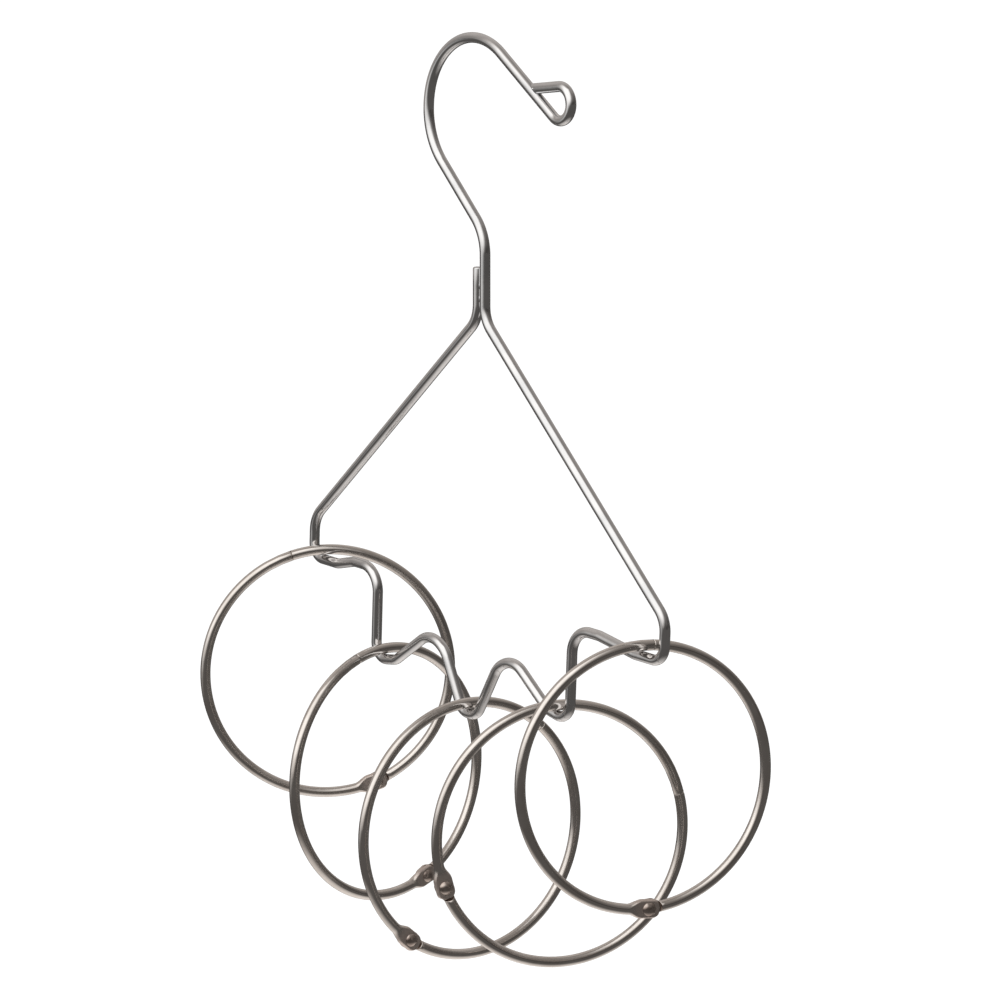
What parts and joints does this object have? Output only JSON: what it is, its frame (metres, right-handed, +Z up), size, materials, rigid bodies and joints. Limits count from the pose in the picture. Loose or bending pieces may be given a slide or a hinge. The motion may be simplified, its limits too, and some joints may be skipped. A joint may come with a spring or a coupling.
{
  "type": "scarf hanger",
  "caption": "Bent-wire hanger with a round hook and a zigzag foot, with hinged snap rings hanging in its valleys to hold scarves or belts.",
  "frame": {"origin": "the inside top of the hook's bow, where the rail touches it", "axes": "+X to the right in the hanger's plane, towards the hook's tip; +Y along the rail, away from the front; +Z up"},
  "size_m": [0.1917, 0.0828, 0.2894],
  "materials": {
    "wire": "bright plated steel wire",
    "weld": "plated weld spot",
    "rings": "bright nickel-plated steel wire",
    "rivets": "nickel-plated rivet"
  },
  "bodies": {
    "hanger": {"wire_frame": "wire", "neck_weld": "weld"},
    "ring_1": {"ring_1_hanging_half": "rings", "ring_1_rivet": "rivets"},
    "ring_1_gate": {"ring_1_opening_half": "rings"},
    "ring_2": {"ring_2_hanging_half": "rings", "ring_2_rivet": "rivets"},
    "ring_2_gate": {"ring_2_opening_half": "rings"},
    "ring_3": {"ring_3_hanging_half": "rings", "ring_3_rivet": "rivets"},
    "ring_3_gate": {"ring_3_opening_half": "rings"},
    "ring_4": {"ring_4_hanging_half": "rings", "ring_4_rivet": "rivets"},
    "ring_4_gate": {"ring_4_opening_half": "rings"},
    "ring_5": {"ring_5_hanging_half": "rings", "ring_5_rivet": "rivets"},
    "ring_5_gate": {"ring_5_opening_half": "rings"}
  },
  "joints": [
    {"name": "ring_1_swing", "type": "hinge", "parent": "hanger", "child": "ring_1", "pos_m": [-0.08001, 0, -0.1682], "axis": [0.9976, 0, -0.0687], "range_deg": [-50, 75]},
    {"name": "ring_1_open", "type": "hinge", "parent": "ring_1", "child": "ring_1_gate", "pos_m": [-0.07266, 0.01302, -0.24164], "axis": [0.8708, -0.4916, 0], "range_deg": [0, 110]},
    {"name": "ring_2_swing", "type": "hinge", "parent": "hanger", "child": "ring_2", "pos_m": [-0.04918, 0, -0.19656], "axis": [0.9976, 0, -0.0687], "range_deg": [-75, 75]},
    {"name": "ring_2_open", "type": "hinge", "parent": "ring_2", "child": "ring_2_gate", "pos_m": [-0.05085, 0.01582, -0.2696], "axis": [0.9945, 0.1045, 0], "range_deg": [0, 110]},
    {"name": "ring_3_swing", "type": "hinge", "parent": "hanger", "child": "ring_3", "pos_m": [-0.00617, 0, -0.20807], "axis": [0.9976, 0, -0.0687], "range_deg": [-75, 75]},
    {"name": "ring_3_open", "type": "hinge", "parent": "ring_3", "child": "ring_3_gate", "pos_m": [-0.00799, -0.02366, -0.27659], "axis": [-0.9971, 0.0767, 0], "range_deg": [0, 110]},
    {"name": "ring_4_swing", "type": "hinge", "parent": "hanger", "child": "ring_4", "pos_m": [0.03801, 0, -0.20256], "axis": [0.9976, 0, -0.0687], "range_deg": [-75, 48]},
    {"name": "ring_4_open", "type": "hinge", "parent": "ring_4", "child": "ring_4_gate", "pos_m": [0.02564, -0.03552, -0.25233], "axis": [-0.9444, 0.3289, 0], "range_deg": [0, 110]},
    {"name": "ring_5_swing", "type": "hinge", "parent": "hanger", "child": "ring_5", "pos_m": [0.07742, 0, -0.17904], "axis": [0.9976, 0, -0.0687], "range_deg": [-75, 74]},
    {"name": "ring_5_open", "type": "hinge", "parent": "ring_5", "child": "ring_5_gate", "pos_m": [0.07762, 0.00067, -0.25539], "axis": [0.9588, -0.284, 0], "range_deg": [0, 110]}
  ]
}
